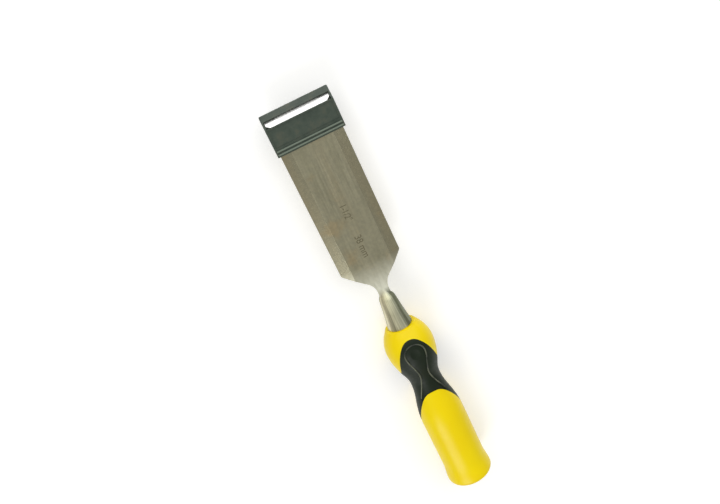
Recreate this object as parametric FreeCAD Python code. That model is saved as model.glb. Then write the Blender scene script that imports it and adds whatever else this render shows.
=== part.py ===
import FreeCAD, Part
import math
import os

# Bench chisel: a bevel-edged blade forged in one with its shank and tang, a hard handle
# moulded round the tang, a soft grip moulded over the handle, and a push-on blade guard.
# Millimetres. +X points to the cutting edge, +Z is up, and the blade's flat back faces down.
# The origin is under the middle of the whole tool, on the surface that the handle lies on.

# Blade
BLADE_WIDTH = 38.1
EDGE_TO_SHOULDER = 100.6
TIP_THICKNESS = 3.4
SHOULDER_THICKNESS = 4.2
GROUND_ANGLE = 27.0
SIDE_BEVEL_WIDTH = 6.4
SIDE_LAND = 1.3

# Neck, shank and tang
SHOULDER_ANGLE = 48.0
NECK_WIDTH = 7.2
NECK_RADIUS = 10.0
NECK_LENGTH = 5.0
SHANK_LENGTH = 45.1
SHANK_ROOT_RADIUS = 5.2
SHANK_ROOT_LENGTH = 7.0
SHANK_TAPER = 0.11
SHANK_FOOT_RADIUS = 7.85
SHANK_FOOT_TAPER = 0.16
FOOT_CHAMFER = 0.4
STUB_RADIUS = 5.5
STUB_LENGTH = 8.0
TANG_LENGTH = 66.0
TANG_ROOT_WIDTH = 8.0
TANG_END_WIDTH = 4.5
TANG_THICKNESS = 5.0

# Handle: stations are measured back from its front face
HANDLE_LENGTH = 123.0
HANDLE_FLATTENING = 0.94
FRONT_RADIUS = 9.6
FRONT_EDGE_RADIUS = 0.6
FRONT_SLOPE = 0.75
BALL_STATION = 15.5
BALL_RADIUS = 15.5
BALL_REAR_STATION = 29.0
BALL_REAR_RADIUS = 13.1
BALL_REAR_SLOPE = 0.32
WAIST_STATION = 41.0
WAIST_RADIUS = 9.9
BARREL_STATION = 73.0
BARREL_RADIUS = 14.2
FLARE_LENGTH = 12.0
BUTT_RADIUS = 15.2
BUTT_EDGE_RADIUS = 3.2
BUTT_SPARE = 1.0

# Soft grip, moulded into a recess of the handle
GRIP_DEPTH = 2.2
GRIP_FRONT_STATION = 5.5
GRIP_FRONT_SWEEP = 23.0
GRIP_FRONT_BULGE = 5.0
GRIP_FRONT_FULLNESS = 2.0
GRIP_REAR_STATION = 47.5
GRIP_REAR_SWEEP = 21.0
GRIP_REAR_POWER = 1.4
GRIP_TONGUE_ROUNDING = 0.12
RECESS_MARGIN = 2.0
BORDER_POINTS = 72
DIMPLE_RADIUS = 6.2
DIMPLE_DEPTH = 0.9
CHANNEL_DEPTH = 0.4
CHANNEL_PINCH_STATION = 32.0
CHANNEL_PINCH_WIDTH = 5.5
CHANNEL_END_STATION = 52.0
CHANNEL_END_WIDTH = 17.0
CHANNEL_END_SLOPE = 0.35

# Blade guard
GUARD_CLEARANCE = 0.3
GUARD_SIDE_WALL = 1.1
GUARD_FLOOR = 1.2
GUARD_ROOF = 1.2
GUARD_COVER = 20.2
GUARD_NOSE = 3.4
GUARD_WINDOW = 3.6
GUARD_SLOPE = 33.0
GUARD_EDGE_RADIUS = 0.7
RIB_WIDTH = 1.0
RIB_HEIGHT = 0.6
RIB_STATIONS = (1.3, 3.3)
PANEL_START = 5.2
PANEL_MARGIN = 0.9
PANEL_SIDE_MARGIN = 1.4
PANEL_DEPTH = 0.35

# Places worked out from the sizes above
TOOL_LENGTH = EDGE_TO_SHOULDER + SHANK_LENGTH + HANDLE_LENGTH
BUTT_X = -(TOOL_LENGTH + GUARD_NOSE) / 2
EDGE_X = BUTT_X + TOOL_LENGTH
SHOULDER_X = EDGE_X - EDGE_TO_SHOULDER
FRONT_X = BUTT_X + HANDLE_LENGTH
AXIS_Z = BUTT_RADIUS * HANDLE_FLATTENING
BACK_Z = AXIS_Z - SHOULDER_THICKNESS / 2

# How far cutting shapes reach past the tool, and how near a point counts as inside a solid
BEYOND = 40.0
NEAR = 0.01


def vec(x, y, z):
    return FreeCAD.Vector(x, y, z)


def face_of(points):
    return Part.Face(Part.makePolygon(points + points[:1]))


def revolved(edges):
    """Turn a profile, drawn above the handle's axis in the XZ plane, into a round solid."""
    face = Part.Face(Part.Wire(edges))
    return face.revolve(vec(0, 0, AXIS_Z), vec(1, 0, 0), 360)


def smooth_curve(points, slopes, rise=vec(0, 0, 1)):
    """A smooth curve towards -X through points, with its slope towards rise at each."""
    curve = Part.BSplineCurve()
    curve.interpolate(
        Points=points,
        Tangents=[vec(-1, 0, 0) + rise * slope for slope in slopes],
        TangentFlags=[True] * len(points),
    )
    return curve


# ---- Blade ----------------------------------------------------------------------------

def blade_thickness(behind_edge):
    taper = (SHOULDER_THICKNESS - TIP_THICKNESS) / EDGE_TO_SHOULDER
    return TIP_THICKNESS + taper * behind_edge


def blade_side_profile(rear_x):
    """The blade seen from its side: flat back, ground bevel and a gently tapered top."""
    ground_length = TIP_THICKNESS / math.tan(math.radians(GROUND_ANGLE))
    heel_z = BACK_Z + blade_thickness(ground_length)
    rear_z = BACK_Z + SHOULDER_THICKNESS
    points = [
        vec(EDGE_X, 0, BACK_Z),
        vec(EDGE_X - ground_length, 0, heel_z),
        vec(SHOULDER_X, 0, rear_z),
        vec(rear_x, 0, rear_z),
        vec(rear_x, 0, BACK_Z),
    ]
    face = face_of(points)
    face.translate(vec(0, -BLADE_WIDTH, 0))
    return face.extrude(vec(0, 2 * BLADE_WIDTH, 0))


def neck_start():
    """Where the shoulder's round ends and the straight neck begins, behind the shoulder."""
    angle = math.radians(SHOULDER_ANGLE)
    round_width = NECK_RADIUS * (1 - math.cos(angle))
    cut_width = (BLADE_WIDTH - NECK_WIDTH) / 2 - round_width
    cut_length = cut_width / math.tan(angle)
    return cut_width, cut_length, cut_length + NECK_RADIUS * math.sin(angle)


def blade_plan(rear_x):
    """The blade seen from above: square edge, slanted shoulders, rounded into the neck."""
    half = BLADE_WIDTH / 2
    neck = NECK_WIDTH / 2
    cut_width, cut_length, neck_behind = neck_start()
    middle = math.radians(SHOULDER_ANGLE / 2)
    edges = []
    for side in (1, -1):
        corner = vec(SHOULDER_X, side * half, 0)
        cut_end = vec(SHOULDER_X - cut_length, side * (half - cut_width), 0)
        neck_x = SHOULDER_X - neck_behind
        on_arc = vec(
            neck_x + NECK_RADIUS * math.sin(middle),
            side * (neck + NECK_RADIUS * (1 - math.cos(middle))),
            0,
        )
        neck_front = vec(neck_x, side * neck, 0)
        neck_rear = vec(rear_x, side * neck, 0)
        edges.append(Part.makeLine(vec(EDGE_X, side * half, 0), corner))
        edges.append(Part.makeLine(corner, cut_end))
        edges.append(Part.Arc(cut_end, on_arc, neck_front).toShape())
        edges.append(Part.makeLine(neck_front, neck_rear))
    edges.append(Part.makeLine(vec(EDGE_X, half, 0), vec(EDGE_X, -half, 0)))
    edges.append(Part.makeLine(vec(rear_x, neck, 0), vec(rear_x, -neck, 0)))
    wire = Part.Wire(Part.__sortEdges__(edges))
    return Part.Face(wire).extrude(vec(0, 0, BEYOND))


def side_bevel(side):
    """The wedge ground off one long edge, sloping along with the blade's taper."""
    inner = BLADE_WIDTH / 2 - SIDE_BEVEL_WIDTH
    top = BACK_Z + TIP_THICKNESS
    slope = (TIP_THICKNESS - SIDE_LAND) / SIDE_BEVEL_WIDTH
    points = [
        vec(0, side * inner, top),
        vec(0, side * (inner + BEYOND), top - slope * BEYOND),
        vec(0, side * (inner + BEYOND), top + BEYOND),
        vec(0, side * inner, top + BEYOND),
    ]
    rise = (SHOULDER_THICKNESS - TIP_THICKNESS) / EDGE_TO_SHOULDER
    length = EDGE_TO_SHOULDER + SHANK_LENGTH
    wedge = face_of(points).extrude(vec(-length, 0, rise * length))
    wedge.translate(vec(EDGE_X, 0, 0))
    return wedge


def shank():
    """The round forged shank, which swells from the neck to its foot on the handle."""
    start_x = SHOULDER_X - neck_start()[2]
    foot_x = FRONT_X + FOOT_CHAMFER
    start = vec(start_x, 0, AXIS_Z + SHOULDER_THICKNESS / 2)
    root = vec(start_x - SHANK_ROOT_LENGTH, 0, AXIS_Z + SHANK_ROOT_RADIUS)
    foot = vec(foot_x, 0, AXIS_Z + SHANK_FOOT_RADIUS)
    foot_low = vec(FRONT_X, 0, AXIS_Z + SHANK_FOOT_RADIUS - FOOT_CHAMFER)
    rise = smooth_curve([start, root], [0, SHANK_TAPER])
    swell = smooth_curve([root, foot], [SHANK_TAPER, SHANK_FOOT_TAPER])
    return revolved([
        Part.makeLine(vec(start_x, 0, AXIS_Z), start),
        rise.toShape(),
        swell.toShape(),
        Part.makeLine(foot, foot_low),
        Part.makeLine(foot_low, vec(FRONT_X, 0, AXIS_Z)),
        Part.makeLine(vec(FRONT_X, 0, AXIS_Z), vec(start_x, 0, AXIS_Z)),
    ])


def tang():
    """The round stub and the flat, tapered tang that the handle is moulded round."""
    stub = Part.makeCylinder(STUB_RADIUS, STUB_LENGTH, vec(FRONT_X, 0, AXIS_Z), vec(-1, 0, 0))
    root = TANG_ROOT_WIDTH / 2
    end = TANG_END_WIDTH / 2
    low = AXIS_Z - TANG_THICKNESS / 2
    blade_tang = face_of([
        vec(FRONT_X, root, low),
        vec(FRONT_X - TANG_LENGTH, end, low),
        vec(FRONT_X - TANG_LENGTH, -end, low),
        vec(FRONT_X, -root, low),
    ]).extrude(vec(0, 0, TANG_THICKNESS))
    return stub.fuse(blade_tang)


def make_blade():
    rear_x = SHOULDER_X - neck_start()[2] - NECK_LENGTH
    plate = blade_side_profile(rear_x).common(blade_plan(rear_x))
    plate = plate.cut([side_bevel(1), side_bevel(-1)])
    return plate.fuse([shank(), tang()]).removeSplitter()


# ---- Handle ---------------------------------------------------------------------------

def handle_curve(inset):
    """The handle's outline from its front edge to the barrel, moved in by inset."""
    stations = (
        (FRONT_EDGE_RADIUS, FRONT_RADIUS + FRONT_EDGE_RADIUS),
        (BALL_STATION, BALL_RADIUS),
        (BALL_REAR_STATION, BALL_REAR_RADIUS),
        (WAIST_STATION, WAIST_RADIUS),
        (BARREL_STATION, BARREL_RADIUS),
    )
    points = [vec(FRONT_X - s, 0, AXIS_Z + r - inset) for s, r in stations]
    return smooth_curve(points, [FRONT_SLOPE, 0, -BALL_REAR_SLOPE, 0, 0])


def handle_envelope():
    """The whole handle as one round solid, before it is flattened and faced at the butt."""
    curve = handle_curve(0)
    start = curve.StartPoint
    flare_x = BUTT_X + BUTT_EDGE_RADIUS + FLARE_LENGTH
    flare_start = vec(flare_x, 0, AXIS_Z + BARREL_RADIUS)
    flare_end = vec(BUTT_X + BUTT_EDGE_RADIUS, 0, AXIS_Z + BUTT_RADIUS)
    flare = smooth_curve([flare_start, flare_end], [0, 0])
    corner = BUTT_EDGE_RADIUS * (1 - math.sqrt(0.5))
    butt_round = Part.Arc(
        flare.EndPoint,
        vec(BUTT_X + corner, 0, AXIS_Z + BUTT_RADIUS - corner),
        vec(BUTT_X, 0, AXIS_Z + BUTT_RADIUS - BUTT_EDGE_RADIUS),
    )
    spare = butt_round.EndPoint - vec(BUTT_SPARE, 0, 0)
    rim = FRONT_EDGE_RADIUS * (1 - math.sqrt(0.5))
    front_round = Part.Arc(
        vec(FRONT_X, 0, AXIS_Z + FRONT_RADIUS),
        vec(FRONT_X - rim, 0, AXIS_Z + FRONT_RADIUS + FRONT_EDGE_RADIUS - rim),
        start,
    )
    return revolved([
        Part.makeLine(vec(FRONT_X, 0, AXIS_Z), front_round.StartPoint),
        front_round.toShape(),
        curve.toShape(),
        Part.makeLine(curve.EndPoint, flare.StartPoint),
        flare.toShape(),
        butt_round.toShape(),
        Part.makeLine(butt_round.EndPoint, spare),
        Part.makeLine(spare, vec(spare.x, 0, AXIS_Z)),
        Part.makeLine(vec(spare.x, 0, AXIS_Z), vec(FRONT_X, 0, AXIS_Z)),
    ])


def front_border(angle):
    """Station of the grip's front border: an arch above and below, low at the sides."""
    wave = math.cos(2 * angle)
    shape = (GRIP_FRONT_BULGE * wave + GRIP_FRONT_FULLNESS) * math.sin(2 * angle) ** 2
    return GRIP_FRONT_STATION + GRIP_FRONT_SWEEP / 2 * (1 + wave) + shape


def rear_border(angle):
    """Station of the grip's rear border: a round bay above and below, tongues at the sides."""
    soft = GRIP_TONGUE_ROUNDING
    full = math.sqrt(1 + soft ** 2) - soft
    rise = (math.sqrt(math.sin(angle) ** 2 + soft ** 2) - soft) / full
    return GRIP_REAR_STATION + GRIP_REAR_SWEEP * (1 - rise) ** GRIP_REAR_POWER


def border_ribbon(border):
    """A ring-shaped surface through the handle's skin, ruled along the handle's radii."""
    rings = []
    for radius in (WAIST_RADIUS - 2 * GRIP_DEPTH, BALL_RADIUS + RECESS_MARGIN):
        points = []
        for k in range(BORDER_POINTS):
            angle = 2 * math.pi * k / BORDER_POINTS
            y = radius * math.cos(angle)
            z = AXIS_Z + radius * math.sin(angle)
            points.append(vec(FRONT_X - border(angle), y, z))
        ring = Part.BSplineCurve()
        steps = list(range(BORDER_POINTS + 1))
        ring.interpolate(Points=points, Parameters=steps, PeriodicFlag=True)
        rings.append(ring.toShape())
    return Part.makeRuledSurface(*rings)


def skin_ring(depth):
    """A ring of the handle's skin, to a depth, that reaches a little past the grip's ends."""
    curve = handle_curve(depth)
    start = curve.StartPoint
    core = revolved([
        Part.makeLine(vec(start.x, 0, AXIS_Z), start),
        curve.toShape(),
        Part.makeLine(curve.EndPoint, vec(curve.EndPoint.x, 0, AXIS_Z)),
        Part.makeLine(vec(curve.EndPoint.x, 0, AXIS_Z), vec(start.x, 0, AXIS_Z)),
    ])
    front_x = FRONT_X - GRIP_FRONT_STATION + RECESS_MARGIN
    rear_x = FRONT_X - GRIP_REAR_STATION - GRIP_REAR_SWEEP - RECESS_MARGIN
    slab = Part.makeCylinder(BEYOND, front_x - rear_x, vec(rear_x, 0, AXIS_Z), vec(1, 0, 0))
    return handle_envelope().common(slab).cut(core)


def flattened(shape):
    """Squash a round shape slightly towards the handle's axis, from above and below."""
    matrix = FreeCAD.Matrix()
    matrix.move(vec(0, 0, -AXIS_Z))
    matrix.scale(vec(1, 1, HANDLE_FLATTENING))
    matrix.move(vec(0, 0, AXIS_Z))
    return shape.transformGeometry(matrix)


def divided_skin(recess):
    """The recess cut by the two borders: the grip between them, and what lies outside."""
    pieces = recess.generalFuse(
        [border_ribbon(front_border), border_ribbon(rear_border)]
    )[0].Solids
    middle = FRONT_X - WAIST_STATION
    probe = vec(middle, 0, AXIS_Z + WAIST_RADIUS - GRIP_DEPTH / 2)
    grip = next(piece for piece in pieces if piece.isInside(probe, NEAR, True))
    return grip, [piece for piece in pieces if not piece.isSame(grip)]


def thumb_channel():
    """The shallow channel round each dimple and back to the rear bay, pinched at the waist."""
    stations = (
        (BALL_STATION, 2 * DIMPLE_RADIUS),
        (CHANNEL_PINCH_STATION, CHANNEL_PINCH_WIDTH),
        (CHANNEL_END_STATION, CHANNEL_END_WIDTH),
    )
    low = AXIS_Z - BEYOND
    curves = []
    for side in (1, -1):
        points = [vec(FRONT_X - s, side * width / 2, low) for s, width in stations]
        curves.append(smooth_curve(points, [0, 0, CHANNEL_END_SLOPE], vec(0, side, 0)))
    edges = [curve.toShape() for curve in curves]
    nose = vec(FRONT_X - BALL_STATION + DIMPLE_RADIUS, 0, low)
    edges.append(Part.Arc(curves[0].StartPoint, nose, curves[1].StartPoint).toShape())
    edges.append(Part.makeLine(curves[0].EndPoint, curves[1].EndPoint))
    plan = Part.Face(Part.Wire(Part.__sortEdges__(edges)))
    return skin_ring(CHANNEL_DEPTH).common(plan.extrude(vec(0, 0, 2 * BEYOND)))


def dimple(side):
    """A shallow round hollow for a thumb or finger, on the top or the underside."""
    sphere_radius = (DIMPLE_RADIUS ** 2 + DIMPLE_DEPTH ** 2) / (2 * DIMPLE_DEPTH)
    surface = BALL_RADIUS * HANDLE_FLATTENING
    centre = surface - DIMPLE_DEPTH + sphere_radius
    return Part.makeSphere(sphere_radius, vec(FRONT_X - BALL_STATION, 0, AXIS_Z + side * centre))


def make_handle(blade):
    recess = skin_ring(GRIP_DEPTH)
    grip, collars = divided_skin(recess)
    core = handle_envelope().cut(recess).fuse(collars)
    grip = flattened(grip.cut(thumb_channel())).cut([dimple(1), dimple(-1)])
    facing = Part.makeBox(
        2 * BUTT_SPARE, 2 * BEYOND, 2 * BEYOND, vec(BUTT_X - 2 * BUTT_SPARE, -BEYOND, AXIS_Z - BEYOND)
    )
    core = flattened(core).cut([facing, blade])
    return core, grip


# ---- Blade guard ----------------------------------------------------------------------

def make_guard():
    """A flat sleeve with a low sloping nose, and a slot in its roof over the ground bevel."""
    inner_width = BLADE_WIDTH + 2 * GUARD_CLEARANCE
    inner_height = blade_thickness(GUARD_COVER) + 2 * GUARD_CLEARANCE
    width = inner_width + 2 * GUARD_SIDE_WALL
    height = inner_height + GUARD_FLOOR + GUARD_ROOF
    mouth_x = EDGE_X - GUARD_COVER
    nose_x = EDGE_X + GUARD_NOSE
    pocket_z = BACK_Z - GUARD_CLEARANCE
    floor_z = pocket_z - GUARD_FLOOR
    roof_z = floor_z + height
    window_x = EDGE_X - GUARD_WINDOW
    tip_z = roof_z - (nose_x - window_x) * math.tan(math.radians(GUARD_SLOPE))
    body = face_of([
        vec(mouth_x, -width / 2, floor_z),
        vec(mouth_x, -width / 2, roof_z),
        vec(window_x, -width / 2, roof_z),
        vec(nose_x, -width / 2, tip_z),
        vec(nose_x, -width / 2, floor_z),
    ]).extrude(vec(0, width, 0))
    rounded = [e for e in body.Edges if e.BoundBox.XMax > mouth_x + GUARD_EDGE_RADIUS]
    body = body.makeFillet(GUARD_EDGE_RADIUS, rounded)
    pocket = Part.makeBox(
        GUARD_COVER + 2 * GUARD_CLEARANCE,
        inner_width,
        inner_height,
        vec(mouth_x - GUARD_CLEARANCE, -inner_width / 2, pocket_z),
    )
    window = Part.makeBox(
        GUARD_WINDOW + GUARD_CLEARANCE,
        inner_width,
        inner_height + GUARD_ROOF,
        vec(window_x, -inner_width / 2, pocket_z),
    )
    panel_x = mouth_x + PANEL_START
    panel_length = GUARD_COVER - GUARD_WINDOW - PANEL_START - PANEL_MARGIN
    panel = Part.makeBox(
        panel_length,
        width - 2 * PANEL_SIDE_MARGIN,
        PANEL_DEPTH,
        vec(panel_x, -width / 2 + PANEL_SIDE_MARGIN, roof_z - PANEL_DEPTH),
    )
    guard = body.cut([pocket, window, panel])
    ribs = []
    for station in RIB_STATIONS:
        rib = Part.makeBox(
            RIB_WIDTH,
            width - 2 * GUARD_EDGE_RADIUS,
            RIB_HEIGHT + GUARD_ROOF / 2,
            vec(
                mouth_x + station - RIB_WIDTH / 2,
                -width / 2 + GUARD_EDGE_RADIUS,
                roof_z - GUARD_ROOF / 2,
            ),
        )
        top = [e for e in rib.Edges if e.BoundBox.ZMin > roof_z + RIB_HEIGHT / 2]
        ribs.append(rib.makeFillet(RIB_HEIGHT / 2, top))
    return guard.fuse(ribs).removeSplitter()


def main():
    blade = make_blade()
    core, grip = make_handle(blade)
    parts = {
        "blade": blade,
        "handle_core": core,
        "soft_grip": grip,
        "blade_guard": make_guard(),
    }
    os.makedirs("parts", exist_ok=True)
    for name, shape in parts.items():
        shape.exportStep("parts/" + name + ".step")
        box = shape.BoundBox
        print(
            name, shape.isValid(), len(shape.Solids), round(shape.Volume, 1),
            [round(v, 2) for v in (box.XMin, box.YMin, box.ZMin, box.XMax, box.YMax, box.ZMax)],
        )


main()
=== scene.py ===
"""Looks of the bench chisel: finishes, etched size marks, channel rims, floor, lights and camera.

Lengths are in metres, in the CAD model's own frame. Places along the blade are measured back from
its cutting edge, and places along the handle are measured back from its front face.
"""
import math

import bpy
from mathutils import Matrix, Vector


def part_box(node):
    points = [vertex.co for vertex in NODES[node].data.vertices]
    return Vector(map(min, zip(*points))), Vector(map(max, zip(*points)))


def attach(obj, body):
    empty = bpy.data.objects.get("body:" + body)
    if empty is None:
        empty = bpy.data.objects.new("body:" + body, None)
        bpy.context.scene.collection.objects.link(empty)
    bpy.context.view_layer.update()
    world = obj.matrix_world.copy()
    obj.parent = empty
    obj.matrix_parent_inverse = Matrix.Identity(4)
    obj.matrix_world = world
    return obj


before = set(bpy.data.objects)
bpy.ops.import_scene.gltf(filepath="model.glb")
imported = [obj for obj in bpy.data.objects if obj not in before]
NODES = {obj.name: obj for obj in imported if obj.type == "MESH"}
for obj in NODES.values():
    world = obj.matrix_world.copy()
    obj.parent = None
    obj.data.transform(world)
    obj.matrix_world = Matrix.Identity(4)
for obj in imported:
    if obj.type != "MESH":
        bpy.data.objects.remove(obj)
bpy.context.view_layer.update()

BLADE_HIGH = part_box("blade")[1]
GUARD_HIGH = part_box("blade_guard")[1]
HANDLE_LOW, HANDLE_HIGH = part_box("handle_core")

EDGE_X = BLADE_HIGH.x
HANDLE_FRONT_X = HANDLE_HIGH.x
AXIS_Z = (HANDLE_LOW.z + HANDLE_HIGH.z) / 2

# Where one finish of the steel blends into the next, as (start, end) behind the cutting edge
BEVEL_TO_FLAT = (0.0066, 0.0070)
FLAT_TO_NECK = (0.099, 0.117)
NECK_TO_SHANK = (0.118, 0.123)

# The stretch over which the steel turns rough towards the neck, and smooth again after it
ROUGH_STRETCH = (0.099, 0.135)

# The two ground side bevels: their width, and how softly their finish begins
SIDE_BEVEL_WIDTH = 0.0064
SIDE_BEVEL_BLEND = 0.0002

# Roughness of the steel: least and most on the flats, then the side bevels and the forged neck
FLAT_ROUGHNESS = (0.30, 0.44)
SIDE_BEVEL_ROUGHNESS = 0.27
NECK_ROUGHNESS = 0.62

# Streaks on the shank: how many in a metre along it, and in half a turn round it
STREAKS_ALONG = 22
STREAKS_ROUND = 26

# How far down from their tops the guard's ribs get a painted highlight, a paler colour
RIB_HIGHLIGHT_DEPTH = 0.0003

# Each etched mark: its characters, how far behind the edge it starts, and its length
MARKS = {
    "size_mark_inches": ('1-1/2"', 0.061, 0.0095),
    "size_mark_metric": ("38 mm", 0.081, 0.014),
}
MARK_HEIGHT = 0.0042

# A mark is a slab of twice this half thickness, sunk a little into the blade
MARK_HALF_THICKNESS = 0.00003
MARK_SINK = 0.00002

# The thumb channel's edge, as (place behind the handle's front, half width) at the dimple, the
# pinch and the rear end, and how fast it widens at that end
RIM_STATIONS = [(0.0155, 0.0062), (0.0320, 0.00275), (0.0500, 0.0079)]
RIM_END_SLOPE = 0.35

# The raised rim: how far outside the channel's edge it runs, its radius, and how smooth it is
RIM_SETBACK = 0.00025
RIM_RADIUS = 0.00040
RIM_STEPS = 24
RIM_ROUNDING = 3

# The floor: half its side, its grey, and its glow to the camera and in reflections
FLOOR_HALF = 3.0
FLOOR_GREY = 0.86
FLOOR_GLOW = 0.34

# The world, and each lamp: its place, what it points at, its width and height, and its watts
WORLD_COLOUR = (1.0, 0.99, 0.92)
WORLD_STRENGTH = 0.33
LAMPS = {
    "front": ((0.96, -0.22, 0.80), (0.1, 0, 0), (3.0, 1.7), 20),
    "side": ((-0.85, 0.55, 0.70), (0, 0, 0), (0.6, 0.6), 5.0),
}

# Camera: over the blade, in front of the handle, looking back and down along the tool
CAMERA_PLACE = Vector((EDGE_X + 0.0728, 0.0147, AXIS_Z + 0.4070))
CAMERA_FORWARD = Vector((-0.3742, -0.0274, -0.9269))
CAMERA_UP = Vector((0.8346, -0.4457, -0.3237))
CAMERA_LENS = 37.75
SENSOR_WIDTH = 36.0
CLIP_START = 0.01

# A Mix node has a set of sockets for each kind of data: these are the ones for colours
MIX_FACTOR = 0
MIX_FIRST = 6
MIX_SECOND = 7
MIX_RESULT = 2


# ---- Node helpers -------------------------------------------------------------------------

def new_material(name):
    """A new material, its node tree and its main shader."""
    material = bpy.data.materials.new(name)
    material.use_nodes = True
    tree = material.node_tree
    return material, tree, tree.nodes["Principled BSDF"]


def add(tree, kind, **values):
    """A new node; each value goes to the socket or the property of that name."""
    node = tree.nodes.new(kind)
    for key, value in values.items():
        if key in node.inputs:
            node.inputs[key].default_value = value
        else:
            setattr(node, key, value)
    return node


def plug(tree, value, socket):
    """Give a socket its value: another node's output, a colour or a number."""
    if isinstance(value, bpy.types.NodeSocket):
        tree.links.new(value, socket)
    elif isinstance(value, tuple):
        socket.default_value = (*value, 1)
    else:
        socket.default_value = value


def calculated(tree, operation, *values):
    """The result of one operation on sockets or numbers."""
    node = add(tree, "ShaderNodeMath", operation=operation)
    for value, socket in zip(values, node.inputs):
        plug(tree, value, socket)
    return node.outputs["Value"]


def position(tree):
    """The X, Y and Z of the surface point, in metres in the CAD model's frame."""
    place = add(tree, "ShaderNodeTexCoord")
    split = add(tree, "ShaderNodeSeparateXYZ")
    tree.links.new(place.outputs["Object"], split.inputs["Vector"])
    return split.outputs["X"], split.outputs["Y"], split.outputs["Z"]


def noise(tree, scale, detail=3.0, roughness=0.5, stretch=(1, 1, 1)):
    """Noise with about scale cells to the metre, drawn out where stretch is below 1."""
    place = add(tree, "ShaderNodeTexCoord")
    mapping = add(tree, "ShaderNodeMapping", Scale=stretch)
    tree.links.new(place.outputs["Object"], mapping.inputs["Vector"])
    node = add(tree, "ShaderNodeTexNoise", Scale=scale, Detail=detail, Roughness=roughness)
    tree.links.new(mapping.outputs["Vector"], node.inputs["Vector"])
    return node.outputs["Fac"]


def ramp(tree, factor, stops):
    """A colour ramp over factor, from (place, colour) stops."""
    node = tree.nodes.new("ShaderNodeValToRGB")
    elements = node.color_ramp.elements
    while len(elements) < len(stops):
        elements.new(0.5)
    for element, (place, colour) in zip(elements, stops):
        element.position = place
        element.color = (*colour, 1)
    tree.links.new(factor, node.inputs["Fac"])
    return node.outputs["Color"]


def spread(tree, factor, low, high, from_low=0.3, from_high=0.7):
    """Factor's stretch from from_low to from_high, spread over low to high."""
    node = tree.nodes.new("ShaderNodeMapRange")
    ends = {"From Min": from_low, "From Max": from_high, "To Min": low, "To Max": high}
    for socket, value in ends.items():
        node.inputs[socket].default_value = value
    tree.links.new(factor, node.inputs["Value"])
    return node.outputs["Result"]


def mixed(tree, factor, first, second, blend="MIX"):
    """Two colours, sockets or tuples, mixed by a factor, a socket or a number."""
    node = add(tree, "ShaderNodeMix", data_type="RGBA", blend_type=blend)
    for index, value in ((MIX_FACTOR, factor), (MIX_FIRST, first), (MIX_SECOND, second)):
        plug(tree, value, node.inputs[index])
    return node.outputs[MIX_RESULT]


def bumped(tree, shader, height, strength, distance):
    """Give a shader the fine relief of a height."""
    node = add(tree, "ShaderNodeBump", Strength=strength, Distance=distance)
    tree.links.new(height, node.inputs["Height"])
    tree.links.new(node.outputs["Normal"], shader.inputs["Normal"])


# ---- Places on the steel ------------------------------------------------------------------

def along_blade(tree, start, end):
    """0 ahead of start and 1 behind end, both measured behind the cutting edge."""
    x, _, _ = position(tree)
    return spread(tree, x, 1, 0, from_low=EDGE_X - end, from_high=EDGE_X - start)


def on_side_bevels(tree):
    """1 on the blade's two ground side bevels and 0 between them."""
    _, y, _ = position(tree)
    inner = BLADE_HIGH.y - SIDE_BEVEL_WIDTH
    off_middle = calculated(tree, "ABSOLUTE", y)
    return spread(tree, off_middle, 0, 1, from_low=inner, from_high=inner + SIDE_BEVEL_BLEND)


def round_shank(tree):
    """X, and the turn round the axis: 0 on the +Y side and 1 on the -Y side, over and under alike."""
    x, y, z = position(tree)
    height = calculated(tree, "ABSOLUTE", calculated(tree, "SUBTRACT", z, AXIS_Z))
    angle = calculated(tree, "ARCTAN2", height, y)
    return x, calculated(tree, "DIVIDE", angle, math.pi)


# ---- Finishes -----------------------------------------------------------------------------

def shank_streaks_and_painted_shade(tree):
    """Streaks that run along the shank and draw together with its taper, times painted light and
    shade round its turn: painted highlight lines over the top and a painted dark -Y side.
    """
    along, turn = round_shank(tree)
    place = add(tree, "ShaderNodeCombineXYZ")
    tree.links.new(calculated(tree, "MULTIPLY", along, STREAKS_ALONG), place.inputs["X"])
    tree.links.new(calculated(tree, "MULTIPLY", turn, STREAKS_ROUND), place.inputs["Y"])
    streaks = add(tree, "ShaderNodeTexNoise", Scale=1.0, Detail=4.0, Roughness=0.6)
    tree.links.new(place.outputs["Vector"], streaks.inputs["Vector"])
    fine = ramp(tree, streaks.outputs["Fac"], [
        (0.34, (0.58, 0.57, 0.48)),
        (0.50, (0.80, 0.79, 0.68)),
        (0.64, (1.0, 0.98, 0.86)),
    ])
    # Painted light and shade round the shank: painted highlight lines near 0.14, 0.40 and 0.54 of the
    # turn, and painted shade over the -Y side from 0.72 on.
    painted_light_and_shade = ramp(tree, turn, [
        (0.0, (0.50, 0.50, 0.42)),
        (0.14, (0.86, 0.82, 0.70)),
        (0.24, (0.62, 0.58, 0.46)),
        (0.40, (0.86, 0.84, 0.68)),
        (0.54, (1.0, 1.0, 0.86)),
        (0.62, (0.78, 0.80, 0.70)),
        (0.72, (0.27, 0.29, 0.23)),
        (1.0, (0.21, 0.23, 0.18)),
    ])
    return mixed(tree, 1.0, fine, painted_light_and_shade, blend="MULTIPLY")


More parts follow.
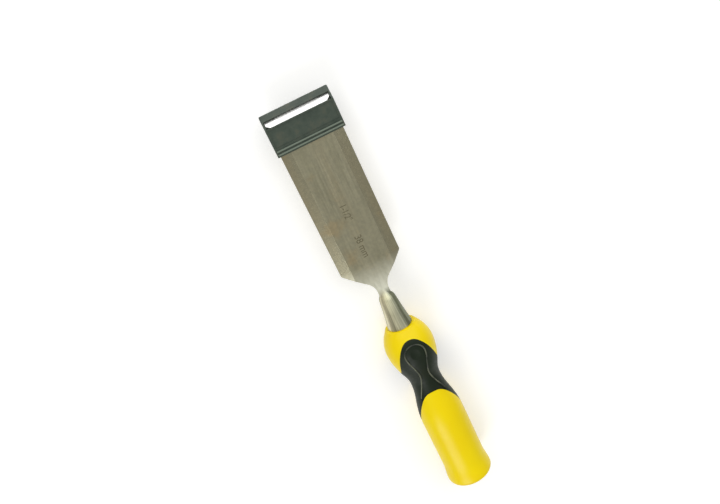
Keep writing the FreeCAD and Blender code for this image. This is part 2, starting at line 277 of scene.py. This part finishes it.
def steel_colour(tree):
    """A bright cutting bevel, warm stained flats, then the pale neck and the streaked shank with its
    painted light and shade.
    """
    bands = ramp(tree, noise(tree, 75, stretch=(0.1, 1, 1)), [
        (0.3, (0.50, 0.48, 0.34)),
        (0.5, (0.53, 0.505, 0.365)),
        (0.72, (0.56, 0.505, 0.345)),
    ])
    stains = noise(tree, 55, detail=4, roughness=0.6)
    stained_places = spread(tree, stains, 0, 0.55, from_low=0.56, from_high=0.70)
    stained = mixed(tree, stained_places, bands, (0.60, 0.47, 0.27))
    mottle = ramp(tree, noise(tree, 480, detail=4, roughness=0.7), [
        (0.35, (0.90, 0.90, 0.90)),
        (0.65, (1.06, 1.05, 1.03)),
    ])
    flat = mixed(tree, 1.0, stained, mottle, blend="MULTIPLY")
    blade = mixed(tree, along_blade(tree, *BEVEL_TO_FLAT), (0.96, 0.96, 0.95), flat)
    forged = ramp(tree, noise(tree, 420, detail=4, stretch=(0.4, 1, 1)), [
        (0.32, (0.74, 0.74, 0.62)),
        (0.62, (0.91, 0.91, 0.79)),
    ])
    neck = mixed(tree, along_blade(tree, *FLAT_TO_NECK), blade, forged)
    return mixed(tree, along_blade(tree, *NECK_TO_SHANK), neck, shank_streaks_and_painted_shade(tree))


def steel_roughness(tree, grain):
    """The grain of the flats, the smoother side bevels and the rough neck."""
    flats = spread(tree, grain, *FLAT_ROUGHNESS)
    polish = mixed(tree, on_side_bevels(tree), flats, (SIDE_BEVEL_ROUGHNESS,) * 3)
    rough = ramp(tree, along_blade(tree, *ROUGH_STRETCH), [
        (0.0, (0, 0, 0)),
        (0.5, (1, 1, 1)),
        (0.75, (1, 1, 1)),
        (1.0, (0, 0, 0)),
    ])
    return mixed(tree, rough, polish, (NECK_ROUGHNESS,) * 3)


def ground_steel():
    """Carbon steel: the blade ground lengthwise, the neck as forged, the shank streaked, with painted
    highlights over its top and painted shade on its -Y side.
    """
    material, tree, shader = new_material("ground_steel")
    shader.inputs["Metallic"].default_value = 1.0
    tree.links.new(steel_colour(tree), shader.inputs["Base Color"])
    grain = noise(tree, 1600, detail=4, stretch=(0.03, 1, 1))
    tree.links.new(steel_roughness(tree, grain), shader.inputs["Roughness"])
    bumped(tree, shader, grain, strength=0.25, distance=0.00004)
    return material


def etched_steel():
    """The darker, rougher steel of an etched mark."""
    material, tree, shader = new_material("etched_steel")
    shader.inputs["Metallic"].default_value = 1.0
    pits = noise(tree, 2600)
    colour = ramp(tree, pits, [(0.3, (0.16, 0.145, 0.095)), (0.7, (0.27, 0.25, 0.165))])
    tree.links.new(colour, shader.inputs["Base Color"])
    shader.inputs["Roughness"].default_value = 0.6
    bumped(tree, shader, pits, strength=0.3, distance=0.00003)
    return material


def hard_yellow():
    """Smooth moulded handle plastic."""
    material, tree, shader = new_material("hard_yellow")
    clouds = noise(tree, 45, detail=2)
    colour = ramp(tree, clouds, [(0.35, (0.975, 0.73, 0.0)), (0.65, (0.99, 0.76, 0.0))])
    tree.links.new(colour, shader.inputs["Base Color"])
    shader.inputs["Specular IOR Level"].default_value = 0.25
    tree.links.new(spread(tree, noise(tree, 260), 0.30, 0.38), shader.inputs["Roughness"])
    shader.inputs["Subsurface Weight"].default_value = 0.05
    shader.inputs["Subsurface Radius"].default_value = (0.003, 0.002, 0.0005)
    bumped(tree, shader, noise(tree, 900, detail=2), strength=0.08, distance=0.00005)
    return material


def soft_black():
    """Soft grip plastic with a fine spark-eroded texture."""
    material, tree, shader = new_material("soft_black")
    clouds = noise(tree, 70)
    colour = ramp(tree, clouds, [(0.3, (0.0075, 0.0145, 0.0065)), (0.7, (0.013, 0.022, 0.011))])
    tree.links.new(colour, shader.inputs["Base Color"])
    tree.links.new(spread(tree, noise(tree, 500), 0.42, 0.55), shader.inputs["Roughness"])
    shader.inputs["Specular IOR Level"].default_value = 0.24
    bumped(tree, shader, noise(tree, 3200, detail=2), strength=0.3, distance=0.00008)
    return material


def rim_black_painted_highlight():
    """The soft plastic along a raised rim, smoother, and paler in patches as a painted highlight."""
    material, tree, shader = new_material("rim_black_painted_highlight")
    # Painted highlight: the rim's colour climbs in patches to a pale olive, far paler than the grip's
    # black.
    painted_highlight_patches = noise(tree, 110, detail=2)
    colour = ramp(tree, painted_highlight_patches, [(0.38, (0.016, 0.022, 0.014)), (0.62, (0.13, 0.14, 0.09))])
    tree.links.new(colour, shader.inputs["Base Color"])
    tree.links.new(spread(tree, painted_highlight_patches, 0.34, 0.46), shader.inputs["Roughness"])
    bumped(tree, shader, noise(tree, 3200, detail=2), strength=0.15, distance=0.00005)
    return material


def guard_plastic():
    """Dark flexible guard plastic, a little cloudy, with a painted highlight: paler along the tops of
    its ribs.
    """
    material, tree, shader = new_material("guard_plastic")
    body = ramp(tree, noise(tree, 140, detail=5, roughness=0.65), [
        (0.32, (0.036, 0.054, 0.041)),
        (0.52, (0.056, 0.076, 0.058)),
        (0.68, (0.082, 0.090, 0.064)),
    ])
    _, _, z = position(tree)
    top = GUARD_HIGH.z
    # Painted highlight: the highest points, the rib tops, are mixed towards a paler green.
    painted_rib_highlight = spread(tree, z, 0, 1, from_low=top - RIB_HIGHLIGHT_DEPTH, from_high=top)
    tree.links.new(mixed(tree, painted_rib_highlight, body, (0.17, 0.21, 0.165)), shader.inputs["Base Color"])
    tree.links.new(spread(tree, noise(tree, 400), 0.38, 0.5), shader.inputs["Roughness"])
    bumped(tree, shader, noise(tree, 1500, detail=2), strength=0.15, distance=0.00006)
    return material


def dress(node, material):
    """Give a CAD node one finish."""
    mesh = NODES[node].data
    mesh.materials.clear()
    mesh.materials.append(material)


dress("blade", ground_steel())
dress("handle_core", hard_yellow())
dress("soft_grip", soft_black())
dress("blade_guard", guard_plastic())


# ---- Etched marks -------------------------------------------------------------------------

def put_in_scene(name, data):
    """A new object that holds the data, linked to the scene."""
    thing = bpy.data.objects.new(name, data)
    bpy.context.scene.collection.objects.link(thing)
    return thing


def blade_top(x):
    """The point on the blade's top face over its middle line, straight above x."""
    hit, point, _, _ = NODES["blade"].ray_cast(Vector((x, 0, 1)), Vector((0, 0, -1)))
    assert hit
    return point


def etched_mark(name, text, start, length, finish):
    """Plain characters etched along the blade, read from the edge towards the handle."""
    front = blade_top(EDGE_X - start)
    rear = blade_top(EDGE_X - start - length)
    curve = bpy.data.curves.new(name, "FONT")
    curve.body = text
    curve.extrude = MARK_HALF_THICKNESS
    curve.materials.append(finish)
    mark = put_in_scene(name, curve)
    bpy.context.view_layer.update()
    low, high = Vector(mark.bound_box[0]), Vector(mark.bound_box[6])
    size = high - low
    along = (rear - front).normalized()
    across = Vector((0, -1, 0))
    out = along.cross(across)
    turn = Matrix((along, across, out)).transposed()
    scale = Matrix.Diagonal((length / size.x, MARK_HEIGHT / size.y, 1))
    corner = turn @ (scale @ low)
    place = front - across * MARK_HEIGHT / 2 - out * MARK_SINK - corner
    mark.matrix_world = Matrix.Translation(place) @ (turn @ scale).to_4x4()
    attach(mark, "chisel")


etched = etched_steel()
for mark_name, (characters, mark_start, mark_length) in MARKS.items():
    etched_mark(mark_name, characters, mark_start, mark_length, etched)


# ---- Rims of the thumb channels ------------------------------------------------------------

def rim_width(first, second, end_slope, share):
    """A smooth width between two (place, width) stations, level at the first one."""
    span = second[0] - first[0]
    return (
        (2 * share**3 - 3 * share**2 + 1) * first[1]
        + (3 * share**2 - 2 * share**3) * second[1]
        + (share**3 - share**2) * span * end_slope
    )


def rim_flank():
    """The (place, half width) pairs from the channel's rear end forward to the dimple's side."""
    ball, pinch, end = RIM_STATIONS
    pairs = []
    for first, second, slope in ((ball, pinch, 0.0), (pinch, end, RIM_END_SLOPE)):
        for step in range(RIM_STEPS):
            share = step / RIM_STEPS
            place = first[0] + (second[0] - first[0]) * share
            pairs.append((place, rim_width(first, second, slope, share)))
    pairs.append(end)
    return pairs[::-1]


def rim_plan():
    """The rim seen from above, from the rear on the +Y side round the dimple and back."""
    ball_place, radius = RIM_STATIONS[0]
    reach = radius + RIM_SETBACK
    flank = [(HANDLE_FRONT_X - place, width + RIM_SETBACK) for place, width in rim_flank()]
    nose = []
    for step in range(1, RIM_STEPS):
        angle = math.pi / 2 - math.pi * step / RIM_STEPS
        nose.append((HANDLE_FRONT_X - ball_place + reach * math.cos(angle), reach * math.sin(angle)))
    return flank + nose + [(x, -y) for x, y in flank[::-1]]


def channel_rim(name, side, finish):
    """A thin rounded rim along the channel's edge: side is 1 for the top, -1 for the underside."""
    curve = bpy.data.curves.new(name, "CURVE")
    curve.dimensions = "3D"
    curve.bevel_depth = RIM_RADIUS
    curve.bevel_resolution = RIM_ROUNDING
    curve.use_fill_caps = True
    plan = rim_plan()
    spline = curve.splines.new("POLY")
    spline.points.add(len(plan) - 1)
    for point, (x, y) in zip(spline.points, plan):
        start = Vector((x, y, AXIS_Z + side))
        hit, place, _, _ = NODES["soft_grip"].ray_cast(start, Vector((0, 0, -side)))
        assert hit
        point.co = (*place, 1)
    curve.materials.append(finish)
    rim = put_in_scene(name, curve)
    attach(rim, "chisel")


# The rims' finish is paler in patches, a painted highlight.
rim_finish_painted_highlight = rim_black_painted_highlight()
channel_rim("channel_rim_top", 1, rim_finish_painted_highlight)
channel_rim("channel_rim_under", -1, rim_finish_painted_highlight)


# ---- Floor, lights and camera -------------------------------------------------------------

def floor_finish():
    """Pale grey that glows white to the camera and in reflections, and is clear from below."""
    material, tree, shader = new_material("floor")
    shader.inputs["Base Color"].default_value = (FLOOR_GREY, FLOOR_GREY, FLOOR_GREY, 1)
    shader.inputs["Roughness"].default_value = 0.9
    shader.inputs["Specular IOR Level"].default_value = 0.1
    glow = add(tree, "ShaderNodeEmission", Strength=FLOOR_GLOW)
    dark = add(tree, "ShaderNodeEmission", Strength=0.0)
    path = add(tree, "ShaderNodeLightPath")
    direct = calculated(tree, "MAXIMUM", path.outputs["Is Camera Ray"], path.outputs["Is Glossy Ray"])
    seen = calculated(tree, "MAXIMUM", direct, path.outputs["Is Transmission Ray"])
    light = add(tree, "ShaderNodeMixShader")
    tree.links.new(seen, light.inputs["Fac"])
    tree.links.new(dark.outputs[0], light.inputs[1])
    tree.links.new(glow.outputs[0], light.inputs[2])
    from_above = add(tree, "ShaderNodeAddShader")
    tree.links.new(shader.outputs[0], from_above.inputs[0])
    tree.links.new(light.outputs[0], from_above.inputs[1])
    side = add(tree, "ShaderNodeNewGeometry")
    clear = add(tree, "ShaderNodeBsdfTransparent")
    one_sided = add(tree, "ShaderNodeMixShader")
    tree.links.new(side.outputs["Backfacing"], one_sided.inputs["Fac"])
    tree.links.new(from_above.outputs[0], one_sided.inputs[1])
    tree.links.new(clear.outputs[0], one_sided.inputs[2])
    tree.links.new(one_sided.outputs[0], tree.nodes["Material Output"].inputs["Surface"])
    return material


def make_floor():
    """A square floor at the level that the handle lies on."""
    half = FLOOR_HALF
    corners = [(-half, -half, 0), (half, -half, 0), (half, half, 0), (-half, half, 0)]
    mesh = bpy.data.meshes.new("floor")
    mesh.from_pydata(corners, [], [(0, 1, 2, 3)])
    mesh.materials.append(floor_finish())
    floor = put_in_scene("floor", mesh)


def area_light(name, place, target, size, power):
    """A rectangular lamp that points at its target."""
    light = bpy.data.lights.new(name, "AREA")
    light.shape = "RECTANGLE"
    light.size, light.size_y = size
    light.energy = power
    lamp = put_in_scene(name, light)
    lamp.location = place
    lamp.rotation_euler = (Vector(target) - Vector(place)).to_track_quat("-Z", "Y").to_euler()


def make_lights():
    """The soft light all round, and the lamps."""
    world = bpy.data.worlds.new("world")
    bpy.context.scene.world = world
    world.use_nodes = True
    background = world.node_tree.nodes["Background"]
    background.inputs["Color"].default_value = (*WORLD_COLOUR, 1)
    background.inputs["Strength"].default_value = WORLD_STRENGTH
    for name, (place, target, size, power) in LAMPS.items():
        area_light(name, place, target, size, power)


def make_camera():
    """The photo's own view."""
    camera = bpy.data.cameras.new("camera")
    camera.lens = CAMERA_LENS
    camera.sensor_width = SENSOR_WIDTH
    camera.clip_start = CLIP_START
    back = -CAMERA_FORWARD.normalized()
    right = CAMERA_UP.cross(back).normalized()
    up = back.cross(right)
    turn = Matrix((right, up, back)).transposed()
    holder = put_in_scene("camera", camera)
    holder.matrix_world = Matrix.Translation(CAMERA_PLACE) @ turn.to_4x4()
    bpy.context.scene.camera = holder


make_floor()
make_lights()
make_camera()
bpy.context.scene.view_settings.view_transform = "Standard"
